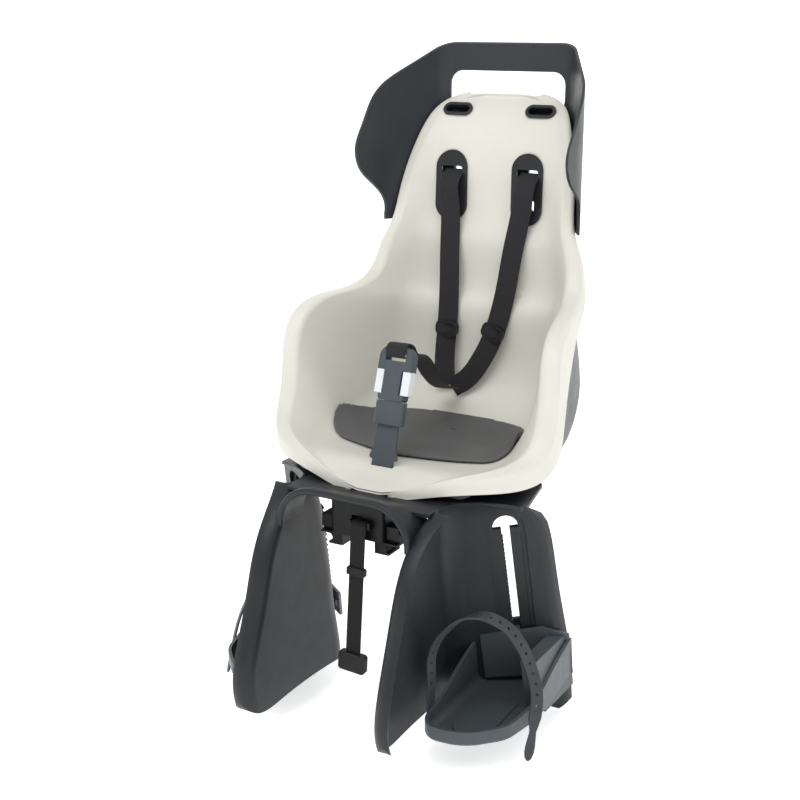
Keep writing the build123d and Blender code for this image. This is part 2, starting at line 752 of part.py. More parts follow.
def deck():
    """Deck plate with its rear wall and its ribs."""
    plate = prism_y(strip(deck_chain(), DECK_RADII, -DECK_WALL), DECK_FRONT - 20, DECK_REAR)
    body = plate & prism_z(deck_outline(), -50, DECK_TOP + 20)
    crown = strip(arch_chain(ARCH_Z, 0), [ARCH_RADIUS] * 2, DECK_TOP - ARCH_Z - 1)
    body += prism_y(crown, DECK_REAR - ARCH_WALL, DECK_REAR)
    run = DECK_REAR - RIB_FRONT
    half = WHEEL_HALF + LEG_WALL / 2
    rib_z = DECK_TOP - DECK_WALL - RIB_HEIGHT / 2
    for x in (-RIB_X, RIB_X):
        body += Pos(x, RIB_FRONT + run / 2, rib_z + 0.5) * Box(RIB_WALL, run, RIB_HEIGHT + 1)
    for y in RIB_Y:
        body += Pos(0, y, rib_z + 0.5) * Box(2 * half, RIB_WALL, RIB_HEIGHT + 1)
    return body


def above_deck():
    """Everything over the deck's top line."""
    chain = deck_chain()
    edges = rounded(chain, DECK_RADII)
    high = DECK_TOP + 60
    ends = [(chain[-1][0], high), (chain[0][0], high)]
    edges += [Line(chain[-1], ends[0]), Line(ends[0], ends[1]), Line(ends[1], chain[0])]
    return prism_y(Wire(edges), DECK_FRONT - 150, DECK_REAR + 100)


def leg_guard_base():
    """Base in one moulding: deck, wheel arch and the two leg guards."""
    added, cut, teeth = channel_parts()
    leg = leg_wall() + added + rack() - cut + teeth
    body = deck() + both(leg)
    body = body - above_deck() + canopy()
    for x, y in bolt_places():
        body -= Pos(x, y, DECK_TOP) * Cylinder(BOLT_RADIUS + NEST_GAP, 4 * DECK_WALL)
    for x, y in clamp_screw_places():
        body -= Pos(x, y, DECK_TOP) * Cylinder(SCREW_RADIUS + NEST_GAP, 4 * DECK_WALL)
        body -= Pos(x, y, DECK_TOP) * Cylinder(SCREW_HEAD_RADIUS + NEST_GAP, 2 * SCREW_HEAD)
    return body


def clamp_screw_places():
    """Plan places of the screws between the deck and the clamp housing."""
    return [(-CLAMP_SCREW_X, CLAMP_SCREW_Y), (CLAMP_SCREW_X, CLAMP_SCREW_Y)]


def base_bolts():
    """Four bolts from under the deck into the feet of the outer shell."""
    bolts = []
    under = DECK_TOP - DECK_WALL
    for x, y in bolt_places():
        shank = DECK_WALL + BOLT_GRIP - 1
        bolt = Pos(x, y, under + shank / 2) * Cylinder(BOLT_RADIUS, shank)
        head = Pos(x, y, under - BOLT_HEAD / 2) * Cylinder(2.1 * BOLT_RADIUS, BOLT_HEAD)
        bolts.append(bolt + head)
    return Compound(bolts)


def shell_screws():
    """Screws through the outer shell into the bosses of the tub."""
    screws = []
    for x, z in screw_axes():
        seat = screw_seat(z)
        head = rod_y(x, z, SCREW_HEAD_RADIUS, seat, seat + SCREW_HEAD)
        screws.append(head + rod_y(x, z, SCREW_RADIUS, seat - SCREW_LENGTH, seat))
    return Compound(screws)


def rod_y(x, z, radius, low, high):
    """Round rod along Y."""
    return Pos(x, (low + high) / 2, z) * Cylinder(radius, high - low, rotation=(90, 0, 0))


def screw_seat(z):
    """Bottom of the counterbore for a screw's head, in the outer shell's back."""
    return back_face(z) + SHELL_WALL / 3


def back_face(z):
    """Where the outer shell's back stands at a height, in the middle plane."""
    points = [fan_point(s.angle, s.floor + s.gap + SHELL_WALL) for s in STATIONS[2:-2]]
    for low, high in zip(points, points[1:]):
        if low.Z <= z <= high.Z and low.Y > FAN_Y + 200:
            share = (z - low.Z) / (high.Z - low.Z)
            return low.Y + (high.Y - low.Y) * share
    return WING_BACK


def buckle_plane():
    """Frame of the leaning buckle: local z up along it, local y away from the viewer."""
    tilt = radians(BUCKLE_LEAN)
    return Plane(BUCKLE_FOOT, x_dir=(1, 0, 0), z_dir=(0, sin(tilt), cos(tilt)))


def box_between(low, high):
    """Box from one corner to the opposite one."""
    size = [b - a for a, b in zip(low, high)]
    middle = [(a + b) / 2 for a, b in zip(low, high)]
    return Pos(*middle) * Box(*size)


def rod_x(y, z, radius, low, high):
    """Round rod along X."""
    return Pos((low + high) / 2, y, z) * Cylinder(radius, high - low, rotation=(0, 90, 0))


def clamp_housing():
    """Housing of the carrier clamp under the deck: a channel for the jaws, with the wheel's window."""
    half_y = CLAMP_DEPTH / 2
    top = DECK_TOP - DECK_WALL
    body = box_between((-CLAMP_HALF, -half_y, CLAMP_LOW), (CLAMP_HALF, half_y, top))
    body = fillet(body.edges().filter_by(Axis.Z), 5)
    arm_low = CLAMP_LOW + CLAMP_WALL
    channel = box_between((-CLAMP_HALF - 1, -JAW_DEPTH / 2 - SLIDE_GAP, arm_low),
                          (CLAMP_HALF + 1, JAW_DEPTH / 2 + SLIDE_GAP, ARM_TOP + SLIDE_GAP))
    neck = box_between((-CLAMP_HALF - 1, -JAW_NECK / 2 - SLIDE_GAP, 0),
                       (CLAMP_HALF + 1, JAW_NECK / 2 + SLIDE_GAP, arm_low + 1))
    body -= channel
    body -= neck
    window = WHEEL_KNOB_WIDTH / 2 + SLIDE_GAP
    room = WHEEL_KNOB_RADIUS + 1
    body -= box_between((-window, -half_y - 1, 0), (window, room, SPINDLE_Z + room))
    for x, y in clamp_screw_places():
        body -= Pos(x, y, top) * Cylinder(SCREW_RADIUS + PIN_GAP, 2 * CLAMP_SCREW_LENGTH + 2)
    body += strap_bar()
    return body


def strap_bar():
    """Front loop on the clamp housing that carries the frame strap."""
    front = -CLAMP_DEPTH / 2
    width = STRAP_WIDTH / 2 + 2
    lugs = None
    for side in (-1, 1):
        x = STRAP_X + side * (width + 1.5)
        lug = box_between((x - 1.5, front - STRAP_REACH - 2.5, STRAP_BAR_Z - 4),
                          (x + 1.5, front + 1, STRAP_BAR_Z + 4))
        lugs = lug if lugs is None else lugs + lug
    bar = rod_x(front - STRAP_REACH, STRAP_BAR_Z, STRAP_BAR_RADIUS, STRAP_X - width - 1, STRAP_X + width + 1)
    return lugs + bar


def clamp_jaw():
    """Right jaw: an arm in the housing with a hook that grips the rail from inside."""
    arm_low = CLAMP_LOW + CLAMP_WALL + SLIDE_GAP
    half = JAW_DEPTH / 2
    body = box_between((JAW_ROOT, -half, arm_low), (JAW_TIP, half, ARM_TOP))
    body += box_between((HOOK_X, -JAW_NECK / 2, -1), (JAW_TIP, JAW_NECK / 2, arm_low + 1))
    hook_low = -2 * RAIL_RADIUS - HOOK_LIP
    body += box_between((HOOK_X, -HOOK_DEPTH / 2, hook_low), (JAW_TIP, HOOK_DEPTH / 2, CLAMP_LOW - SLIDE_GAP))
    rail = RAIL_REST_X
    body -= rod_y(rail, -RAIL_RADIUS, RAIL_RADIUS, -HOOK_DEPTH, HOOK_DEPTH)
    body -= box_between((rail, -HOOK_DEPTH, hook_low - 1), (JAW_TIP + 1, HOOK_DEPTH, 0))
    body -= rod_x(0, SPINDLE_Z, SPINDLE_RADIUS + PIN_GAP, 0, JAW_TIP + 5)
    return body


def clamp_spindle():
    """Threaded spindle with its thumbwheel; one end has a right-hand, the other a left-hand thread."""
    body = rod_x(0, SPINDLE_Z, SPINDLE_RADIUS, -SPINDLE_HALF, SPINDLE_HALF)
    half = WHEEL_KNOB_WIDTH / 2
    wheel = rod_x(0, SPINDLE_Z, WHEEL_KNOB_RADIUS, -half, half)
    for i in range(KNOB_FLUTES):
        turn = 2 * pi * i / KNOB_FLUTES
        y = (WHEEL_KNOB_RADIUS + 0.5) * cos(turn)
        z = SPINDLE_Z + (WHEEL_KNOB_RADIUS + 0.5) * sin(turn)
        wheel -= rod_x(y, z, KNOB_FLUTE_RADIUS, -half - 1, half + 1)
    return body + wheel


def clamp_screws():
    """Screws from the deck down into the clamp housing, their heads sunk in the deck."""
    screws = []
    length = DECK_WALL + CLAMP_SCREW_LENGTH
    for x, y in clamp_screw_places():
        shank = Pos(x, y, DECK_TOP - length / 2) * Cylinder(SCREW_RADIUS, length)
        head = Pos(x, y, DECK_TOP - SCREW_HEAD / 2) * Cylinder(SCREW_HEAD_RADIUS, SCREW_HEAD)
        screws.append(shank + head)
    return Compound(screws)


def rest_point():
    """Where the slot's axis passes the footrest's neck, in the slot's frame: a local y."""
    return -slot_length() * (SLOT_TOP_Z - REST_Z) / (SLOT_TOP_Z - SLOT_LOW_Z)


def rest_outline():
    """Plan outline of the right footrest's tray."""
    points = [(REST_INNER_X, REST_REAR_Y), (REST_INNER_X, REST_TOE_Y), (160, REST_TOE_Y + 4),
              (198, REST_TOE_Y + 44), (REST_OUTER_X, REST_TOE_Y + 96), (REST_OUTER_X, REST_REAR_Y)]
    return points, [22, 60, 45, 30]


def tray(grow, low, high, radius):
    """Block of the right tray's plan outline, moved inward, with a rounded lower edge."""
    points, radii = rest_outline()
    radii = [r - grow for r in fitted(points, radii)]
    if grow:
        points = beside(points, grow)
    plan = Wire(rounded(points, radii) + [Line(points[-1], points[0])])
    block = prism_z(plan, low, high)
    under = block.faces().sort_by(Axis.Z)[0]
    edges = [edge for edge in under.edges() if edge.center().Y < REST_REAR_Y - 1]
    return fillet(edges, radius)


def footrest():
    """Right footrest: a toe tray with a rising rim, a strap block and the neck that runs in the slot."""
    body = tray(0, REST_FLOOR_Z, REST_TOP, REST_EDGE_RADIUS)
    hollow = tray(REST_WALL, REST_FLOOR_Z + REST_WALL, REST_TOP + 1, REST_DISH_RADIUS)
    high = REST_TOP + 60
    rim = Wire([
        Spline(*REST_RIM),
        Line(REST_RIM[-1], (REST_RIM[-1][0], high)),
        Line((REST_RIM[-1][0], high), (REST_RIM[0][0], high)),
        Line((REST_RIM[0][0], high), REST_RIM[0]),
    ])
    slope = Vector(*REST_RIM_SLOPE)
    face = Pos(REST_INNER_X, 0, 0) * make_face(Plane.YZ * rim)
    over = extrude(Pos(*(slope * -0.2)) * face, amount=1.5 * slope.length, dir=slope)
    behind = slab(Wire.make_polygon([(-200, -400), (200, -400), (200, 100), (-200, 100)]), -200, SLIDE_GAP)
    body = body - hollow - over
    body += slab(Wire.make_polygon(REST_BACK), SLIDE_GAP, SLIDE_GAP + REST_WALL)
    body += strap_block()
    body += foot_relief()
    body -= behind
    neck = Pos(0, rest_point()) * Rectangle(SLOT_WIDTH - 2 * TOOTH_DEPTH - 2 * SLIDE_GAP, NECK_HEIGHT)
    depth = LEG_WALL + CHANNEL_BACKING + SLIDE_GAP
    return body + slab((Pos(TOOTH_DEPTH / 2, 0) * neck).wire(), -depth, SLIDE_GAP + 1)


def strap_block():
    """Block at the outer rear corner of the right tray, with the slot for the foot strap."""
    base = [(BLOCK_X, 62), (BLOCK_X + 22, 70), (BLOCK_X + 24, REST_REAR_Y), (BLOCK_X, REST_REAR_Y)]
    top = [(BLOCK_X - 3, 48), (BLOCK_X + 14, 52), (BLOCK_X + 16, REST_REAR_Y), (BLOCK_X - 3, REST_REAR_Y)]
    low = Pos(0, 0, REST_FLOOR_Z) * Wire.make_polygon(base)
    high = Pos(0, 0, BLOCK_TOP) * Wire.make_polygon(top)
    return Solid.make_loft([low, high], True)


def foot_relief():
    """Raised D-shaped tread on the tray's floor."""
    start, toe, end = zip(TREAD_X, TREAD_Y)
    rear_start = (TREAD_X[0], TREAD_REAR)
    rear_end = (TREAD_X[2], TREAD_REAR)
    outline = Wire([
        Line(rear_start, start),
        ThreePointArc(start, toe, end),
        Line(end, rear_end),
        Line(rear_end, rear_start),
    ])
    top = REST_FLOOR_Z + REST_WALL
    return prism_z(outline, top - REST_WALL / 2, top + TREAD_RISE)


def guide_back():
    """Depth of the guide's rear face in the slot's frame."""
    return -LEG_WALL - CHANNEL_BACKING - SLIDE_GAP - GUIDE_WALL


def pin_rod(radius, half):
    """Rod along the right latch pin's axis."""
    plane = slot_plane()
    centre = plane.from_local_coords(Vector(PIN_X, rest_point(), guide_back() - PIN_STAND))
    along = Plane(centre, x_dir=plane.x_dir, z_dir=plane.y_dir)
    return extrude(along * Circle(radius), amount=half, both=True)


def footrest_guide():
    """Slide behind the right rear wall that clasps the footrest's neck, with the latch's two lugs."""
    centre = rest_point()
    plate = Pos(0, centre) * RectangleRounded(GUIDE_WIDTH, GUIDE_HEIGHT, 6)
    body = slab(plate.wire(), guide_back(), guide_back() + GUIDE_WALL)
    for side in (-1, 1):
        beyond = LATCH_HEIGHT / 2 + SLIDE_GAP + LUG_WALL / 2
        lug = Pos(PIN_X, centre + side * beyond) * Rectangle(2 * LUG_RADIUS, LUG_WALL)
        body += slab(lug.wire(), guide_back() - PIN_STAND - LUG_RADIUS, guide_back() + 1)
    return body - pin_rod(LATCH_PIN_RADIUS + PIN_GAP / 2, GUIDE_HEIGHT)


def footrest_latch():
    """Pale latch lever behind the right guide, turning on its pin, with a pawl over the rack."""
    centre = rest_point()
    depth = guide_back() - PIN_STAND
    reach = PIN_X - LATCH_FROM
    plate = Pos(PIN_X - reach / 2, centre) * RectangleRounded(reach, LATCH_HEIGHT, 3)
    body = slab(plate.wire(), depth - LATCH_WALL / 2, depth + LATCH_WALL / 2)
    body += pin_rod(LUG_RADIUS - 0.5, LATCH_HEIGHT / 2)
    pawl = Pos(RACK_X, centre) * Rectangle(RACK_WALL + 4, RACK_PITCH)
    rack_tip = -LEG_WALL + 1 - RACK_DEPTH
    body += slab(pawl.wire(), depth, rack_tip - SLIDE_GAP)
    return body - pin_rod(LATCH_PIN_RADIUS + 2 * PIN_GAP, GUIDE_HEIGHT)


def latch_pin():
    """Pin through the right guide's lugs and the latch."""
    return pin_rod(LATCH_PIN_RADIUS, LATCH_HEIGHT / 2 + SLIDE_GAP + LUG_WALL)


def band(points, across, width, wall):
    """Flat webbing along a smooth line, with the width laid across."""
    path = Spline(*points)
    sections = []
    for i in range(BAND_SECTIONS + 1):
        share = i / BAND_SECTIONS
        spot = path.position_at(share)
        along = path.tangent_at(share)
        side = Vector(*across[0]) + (Vector(*across[-1]) - Vector(*across[0])) * share
        side = (side - along * side.dot(along)).normalized()
        normal = along.cross(side)
        corners = [spot + side * (sx * width / 2) + normal * (sn * wall / 2)
                   for sx, sn in ((-1, -1), (1, -1), (1, 1), (-1, 1))]
        sections.append(Wire.make_polygon(corners))
    return Solid.make_loft(sections, True)


def foot_strap():
    """Perforated rubber strap from the right tray's inner wall over the foot, with its hanging tail."""
    start = REST_INNER_X - FOOT_STRAP_GAP - FOOT_STRAP_WALL / 2
    points = [(start, y, z) for y, z in FOOT_STRAP_ROOT] + FOOT_STRAP_ARCH
    return band(points, [(0, 1, 0), (-0.4, 1, 0)], FOOT_STRAP_WIDTH, FOOT_STRAP_WALL)


def harness_plate():
    """Right strap guide plate, laid on the seat's back."""
    skin = liner(SKIN_GAP, PLATE_WALL)
    body = skin & through_back(obround(PLATE_WIDTH, PLATE_HEIGHT), PLATE_X, PLATE_Z)
    for z, width, height in PLATE_HOLES:
        body -= through_back(RectangleRounded(width, height, 3), PLATE_X, PLATE_Z + z)
    return body


def slot_grommet():
    """Right oval grommet in the top strap slot."""
    place = grommet_place()
    flange = SlotOverall(GROMMET_LENGTH, GROMMET_WIDTH)
    sleeve = SlotOverall(GROMMET_LENGTH - 2 * GROMMET_WALL, GROMMET_WIDTH - 2 * GROMMET_WALL)
    hole = SlotOverall(GROMMET_LENGTH - 4 * GROMMET_WALL, GROMMET_WIDTH - 4 * GROMMET_WALL)
    body = extrude(place * flange, amount=GROMMET_RISE + 1.5) - extrude(place * flange, amount=GROMMET_RISE)
    body += extrude(place * sleeve, amount=GROMMET_RISE + 1.5) + extrude(place * sleeve, amount=-8)
    return body - extrude(place * hole, amount=30, both=True)


def seat_pad():
    """Foam pad on the seat pan."""
    skin = liner(PAD_GAP, PAD_WALL)
    left = [(-x, y) for x, y in PAD_OUTLINE[-2:0:-1]]
    outline = Wire([Spline(*PAD_OUTLINE, *left, periodic=True)])
    return skin & prism_z(outline, 0, 200)


def local(shape, plane):
    """A shape drawn at the origin, moved into a frame."""
    return plane.location * shape


def crotch_strap():
    """Moulded crotch strap from the pan's slot up into the buckle socket."""
    half = CROTCH_WIDTH / 2
    foot = CROTCH_FOOT / 2
    right = [(half, -CROTCH_ROOT), (half, 1), (foot, 3), (foot, 7), (half + 2, 12), (half, 34),
             (half, SOCKET_LOW + 8)]
    face = make_face(Plane.XZ * Wire.make_polygon(mirrored_chain(right)))
    body = extrude(Pos(0, -CROTCH_WALL / 2, 0) * face, amount=CROTCH_WALL, dir=(0, 1, 0))
    anchor = box_between((-foot, -CROTCH_WALL, -CROTCH_ROOT - 2), (foot, CROTCH_WALL, -CROTCH_ROOT))
    return local(body + anchor, buckle_plane())


def buckle_socket():
    """Lower half of the buckle, with the slot for the strap and the mouth for the tongue."""
    half = SOCKET_WIDTH / 2
    body = box_between((-half, -BUCKLE_DEPTH / 2, SOCKET_LOW), (half, BUCKLE_DEPTH / 2, SOCKET_TOP))
    body = fillet(body.edges().filter_by(Axis.Z), 5)
    slot = box_between((-CROTCH_WIDTH / 2 - 0.2, -CROTCH_WALL / 2 - 0.2, SOCKET_LOW - 1),
                       (CROTCH_WIDTH / 2 + 0.2, CROTCH_WALL / 2 + 0.2, SOCKET_LOW + 8.2))
    mouth = box_between((-TONGUE_BLADE / 2 - 0.3, -2.8, SOCKET_TOP - 14),
                        (TONGUE_BLADE / 2 + 0.3, 2.8, SOCKET_TOP + 1))
    return local(body - slot - mouth, buckle_plane())


def buckle_tongue():
    """Upper half of the buckle: tongue, side pockets for the buttons and the webbing bar."""
    half = TONGUE_WIDTH / 2
    low = SOCKET_TOP + BUTTON_GAP
    waist = low + BUTTON_LOW
    chain = [(0, low), (half - TONGUE_TAPER, low), (half, waist + BUTTON_HEIGHT),
             (half, TONGUE_TOP), (0, TONGUE_TOP)]
    right = rounded(chain, [3, TONGUE_ROUND, TONGUE_ROUND])
    face = make_face(Plane.XZ * Wire(right + [Line(chain[-1], chain[0])]))
    face += left_of(face)
    body = extrude(Pos(0, -BUCKLE_DEPTH / 2, 0) * face, amount=BUCKLE_DEPTH, dir=(0, 1, 0))
    body += box_between((-TONGUE_BLADE / 2, -2.5, SOCKET_TOP - 13), (TONGUE_BLADE / 2, 2.5, low + 1))
    for side in (-1, 1):
        body -= button_block(side, BUTTON_GAP, BUTTON_TRAVEL + BUTTON_GAP)
    high = TONGUE_TOP - WEB_FOLD + 4
    room = WEB_WIDTH / 2 + 1
    window = box_between((-room, -BUCKLE_DEPTH, high - 8), (room, BUCKLE_DEPTH, high))
    return local(body - window, buckle_plane())


def button_block(side, grow, deeper):
    """Block of one side button; grown and deepened it is the button's pocket."""
    low = SOCKET_TOP + BUTTON_GAP + BUTTON_LOW
    inner = TONGUE_WIDTH / 2 - BUTTON_DEPTH - deeper
    outer = TONGUE_WIDTH / 2 + (BUTTON_DEPTH if grow else BUTTON_PROUD)
    reach = BUTTON_WIDTH / 2 + 4 * grow
    a = (min(side * inner, side * outer), -reach, low - grow)
    b = (max(side * inner, side * outer), reach, low + BUTTON_HEIGHT + grow)
    return box_between(a, b)


def buckle_button(side):
    """Pale button in one side of the buckle."""
    body = button_block(side, 0, 0)
    outer = body.faces().sort_by(Axis.X)[-1 if side > 0 else 0]
    return local(fillet(outer.edges(), 1.5), buckle_plane())


def shoulder_strap(side):
    """Shoulder webbing from its plate down to the join behind the buckle."""
    points = STRAP_RIGHT if side > 0 else STRAP_LEFT
    return band(points, [(1, 0, 0)], WEB_WIDTH, WEB_WALL)


def adjuster_place(side):
    """Frame of the strap adjuster: local z along the webbing."""
    points = STRAP_RIGHT if side > 0 else STRAP_LEFT
    along = (Vector(*points[ADJUSTER_SPOT - 1]) - Vector(*points[ADJUSTER_SPOT + 1])).normalized()
    across = (Vector(1, 0, 0) - along * along.X).normalized()
    return Plane(points[ADJUSTER_SPOT], x_dir=across, z_dir=along)


def strap_adjuster(side):
    """Slide adjuster on the webbing: an oval frame with a window over the webbing."""
    half = WEB_WIDTH / 2 + ADJUSTER_RIM
    high = ADJUSTER_HEIGHT / 2
    body = box_between((-half, -ADJUSTER_DEPTH / 2, -high), (half, ADJUSTER_DEPTH / 2, high))
    body = fillet(body.edges().filter_by(Axis.Y), ADJUSTER_RADIUS)
    side_room = WEB_WIDTH / 2 + SLIDE_GAP
    room = WEB_WALL / 2 + SLIDE_GAP
    slot = box_between((-side_room, -room, -high - 1), (side_room, room, high + 1))
    wide = half - ADJUSTER_FRAME
    tall = high - ADJUSTER_FRAME
    window = box_between((-wide, -ADJUSTER_DEPTH, -tall), (wide, 0, tall))
    window = fillet(window.edges().filter_by(Axis.Y), ADJUSTER_RADIUS - ADJUSTER_FRAME)
    return local(body - slot - window, adjuster_place(side))


def folded_web(points, radii, width, x):
    """Webbing folded along a side line in (y, z), centred on a value of x."""
    outline = strip(points, radii, WEB_WALL)
    return prism_x(outline, x - width / 2, x + width / 2)


def buckle_web():
    """Link webbing from the buckle's bar, over its top and back to the join of the shoulder webbing."""
    plane = buckle_plane()
    back = BUCKLE_DEPTH / 2 + NEST_GAP / 2
    over = TONGUE_TOP + NEST_GAP / 2
    loop = [(-back, over - WEB_FOLD), (-back, over), (back + 4, over), (back + 14, over - 9)]
    corners = [plane.from_local_coords(Vector(0, y, z)) for y, z in loop]
    fold = folded_web([(c.Y, c.Z) for c in corners], [NEST_GAP, 6], WEB_WIDTH - 1, 0)
    end = corners[-1]
    lift = WEB_WALL / 2
    start = [(0, end.Y - 3, end.Z + 3 + lift), (0, end.Y, end.Z + lift)]
    return fold + band(start + LINK, [(1, 0, 0)], WEB_WIDTH - 1, WEB_WALL)


def strap_front():
    """Front face of the frame strap's hanging run."""
    return -CLAMP_DEPTH / 2 - STRAP_REACH - STRAP_BAR_RADIUS - SLIDE_GAP


def leaning(shape):
    """The frame strap's slight sideways lean, about its bar."""
    pivot = Pos(STRAP_X, 0, STRAP_BAR_Z)
    return pivot * Rot(0, STRAP_LEAN, 0) * pivot.inverse() * shape


def frame_strap():
    """Webbing that hangs from the clamp for a turn round the bicycle's frame."""
    front = strap_front()
    reach = STRAP_BAR_RADIUS + SLIDE_GAP
    top = STRAP_BAR_Z + reach
    rear = front + 2 * reach
    points = [(front, STRAP_END), (front, top), (rear, top), (rear, STRAP_BAR_Z - 3 * reach)]
    return leaning(folded_web(points, [reach, reach], STRAP_WIDTH, STRAP_X))


def frame_buckle():
    """Ladder buckle at the frame strap's end."""
    y = strap_front() - WEB_WALL / 2
    half = FRAME_BUCKLE_WIDTH / 2
    body = box_between((STRAP_X - half, y - 4, STRAP_END - 12), (STRAP_X + half, y + 4, STRAP_END + 12))
    body = fillet(body.edges().filter_by(Axis.Y), 4)
    room = STRAP_WIDTH / 2 + SLIDE_GAP
    opening = box_between((STRAP_X - room, y - WEB_WALL / 2 - SLIDE_GAP, STRAP_END - SLIDE_GAP),
                          (STRAP_X + room, y + WEB_WALL / 2 + SLIDE_GAP, STRAP_END + 20))
    return leaning(body - opening)


def strap_keeper():
    """Loop that keeps the frame strap's free end flat."""
    y = strap_front() - WEB_WALL / 2
    half = STRAP_WIDTH / 2 + 3
    body = box_between((STRAP_X - half, y - 3, KEEPER_Z - 5), (STRAP_X + half, y + 3, KEEPER_Z + 5))
    body = fillet(body.edges().filter_by(Axis.Y), 2)
    room = STRAP_WIDTH / 2 + SLIDE_GAP
    return leaning(body - box_between((STRAP_X - room, y - WEB_WALL / 2 - SLIDE_GAP, KEEPER_Z - 10),
                                      (STRAP_X + room, y + WEB_WALL / 2 + SLIDE_GAP, KEEPER_Z + 10)))


def save(shape, name):
    """Write one node."""
    export_step(shape, f"parts/{name}.step")


def save_pair(shape, name):
    """Write a right-hand node and its mirror image."""
    save(shape, f"{name}_right")
    save(left_of(shape), f"{name}_left")


os.makedirs("parts", exist_ok=True)
save(seat_shell(), "seat_shell")
save(outer_shell(), "outer_shell")
save(leg_guard_base(), "leg_guard_base")
save(base_bolts(), "base_bolts")
save(shell_screws(), "shell_screws")
save(clamp_housing(), "clamp_housing")
save_pair(clamp_jaw(), "clamp_jaw")
save(clamp_spindle(), "clamp_spindle")
save(clamp_screws(), "clamp_screws")
save_pair(footrest(), "footrest")
save_pair(footrest_guide(), "footrest_guide")
save_pair(footrest_latch(), "footrest_latch")
save_pair(latch_pin(), "latch_pin")
save_pair(foot_strap(), "foot_strap")
save_pair(harness_plate(), "harness_plate")
save_pair(slot_grommet(), "slot_grommet")
save(seat_pad(), "seat_pad")
save(crotch_strap(), "crotch_strap")
save(buckle_socket(), "buckle_socket")
save(buckle_tongue(), "buckle_tongue")
save(buckle_button(1), "buckle_button_right")
save(buckle_button(-1), "buckle_button_left")
save(shoulder_strap(1), "shoulder_strap_right")
save(shoulder_strap(-1), "shoulder_strap_left")
save(strap_adjuster(1), "strap_adjuster_right")
save(strap_adjuster(-1), "strap_adjuster_left")
save(buckle_web(), "buckle_web")
save(frame_strap(), "frame_strap")
save(frame_buckle(), "frame_buckle")
save(strap_keeper(), "strap_keeper")
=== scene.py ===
import bisect
import math

import bmesh
import bpy
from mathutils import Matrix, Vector


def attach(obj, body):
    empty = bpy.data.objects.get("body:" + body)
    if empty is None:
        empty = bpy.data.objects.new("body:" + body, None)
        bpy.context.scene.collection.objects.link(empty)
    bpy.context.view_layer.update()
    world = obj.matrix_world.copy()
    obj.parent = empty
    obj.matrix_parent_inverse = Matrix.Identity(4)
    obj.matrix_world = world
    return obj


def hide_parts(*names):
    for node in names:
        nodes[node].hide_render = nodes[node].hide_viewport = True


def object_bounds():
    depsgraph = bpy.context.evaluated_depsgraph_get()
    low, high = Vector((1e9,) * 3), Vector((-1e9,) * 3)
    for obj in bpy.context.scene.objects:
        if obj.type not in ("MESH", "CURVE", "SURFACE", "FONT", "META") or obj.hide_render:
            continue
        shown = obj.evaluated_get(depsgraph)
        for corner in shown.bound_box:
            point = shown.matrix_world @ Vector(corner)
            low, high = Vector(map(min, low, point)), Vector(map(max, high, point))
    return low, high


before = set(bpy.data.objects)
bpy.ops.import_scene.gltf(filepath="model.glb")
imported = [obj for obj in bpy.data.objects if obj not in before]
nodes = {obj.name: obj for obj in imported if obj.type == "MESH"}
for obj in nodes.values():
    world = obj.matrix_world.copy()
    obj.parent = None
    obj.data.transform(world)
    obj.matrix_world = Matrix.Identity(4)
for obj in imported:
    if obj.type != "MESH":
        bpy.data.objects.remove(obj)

cad_low, cad_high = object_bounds()
scene = bpy.context.scene


# Leg guard base: deck, wheel arch and both leg guards in one dark polypropylene moulding.
# Its mould was spark eroded, so it has a fine even grain with a low gloss.
class Shade:
    """A value in a node tree, which Python's operators turn into Math nodes."""

    def __init__(self, tree, socket):
        self.tree = tree
        self.socket = socket

    def node(self, kind, inputs=None, output=0, **settings):
        made = self.tree.nodes.new(kind)
        for key, value in settings.items():
            setattr(made, key, value)
        for key, value in (inputs or {}).items():
            if isinstance(value, Shade):
                self.tree.links.new(value.socket, made.inputs[key])
            else:
                made.inputs[key].default_value = value
        return Shade(self.tree, made.outputs[output])

    def maths(self, operation, other=0.0):
        return self.node("ShaderNodeMath", {0: self, 1: other}, operation=operation)

    def __add__(self, other):
        return self.maths("ADD", other)

    __radd__ = __add__

    def __sub__(self, other):
        return self.maths("SUBTRACT", other)

    def __rsub__(self, other):
        return self.node("ShaderNodeMath", {0: other, 1: self}, operation="SUBTRACT")

    def __mul__(self, other):
        return self.maths("MULTIPLY", other)

    __rmul__ = __mul__

    def span(self, low, high, to_low=0.0, to_high=1.0):
        return self.node("ShaderNodeMapRange", {0: self, 1: low, 2: high, 3: to_low, 4: to_high})

    def mix(self, first, second):
        return self.node("ShaderNodeMix", {0: self, 6: first, 7: second}, 2, data_type="RGBA")

    def part(self, axis):
        return self.node("ShaderNodeSeparateXYZ", {0: self}, axis)

    def noise(self, scale, detail=3.0, rough=0.55):
        inputs = {"Vector": self, "Scale": scale, "Detail": detail, "Roughness": rough}
        return self.node("ShaderNodeTexNoise", inputs)

    def cells(self, scale):
        return self.node("ShaderNodeTexVoronoi", {"Vector": self, "Scale": scale})

    def bump(self, strength, distance):
        return self.node("ShaderNodeBump", {"Height": self, "Strength": strength, "Distance": distance})


def new_material(name):
    """A material, its shader, and a Shade that reads object coordinates."""
    material = bpy.data.materials.new(name)
    material.use_nodes = True
    tree = material.node_tree
    tree.nodes.clear()
    shader = tree.nodes.new("ShaderNodeBsdfPrincipled")
    result = tree.nodes.new("ShaderNodeOutputMaterial")
    tree.links.new(shader.outputs[0], result.inputs[0])
    place = Shade(tree, tree.nodes.new("ShaderNodeTexCoord").outputs["Object"])
    return material, shader, place


def feed(shader, **inputs):
    """Connect or set a shader's inputs by name."""
    for key, value in inputs.items():
        socket = shader.inputs[key.replace("_", " ")]
        if isinstance(value, Shade):
            shader.id_data.links.new(value.socket, socket)
        else:
            socket.default_value = value


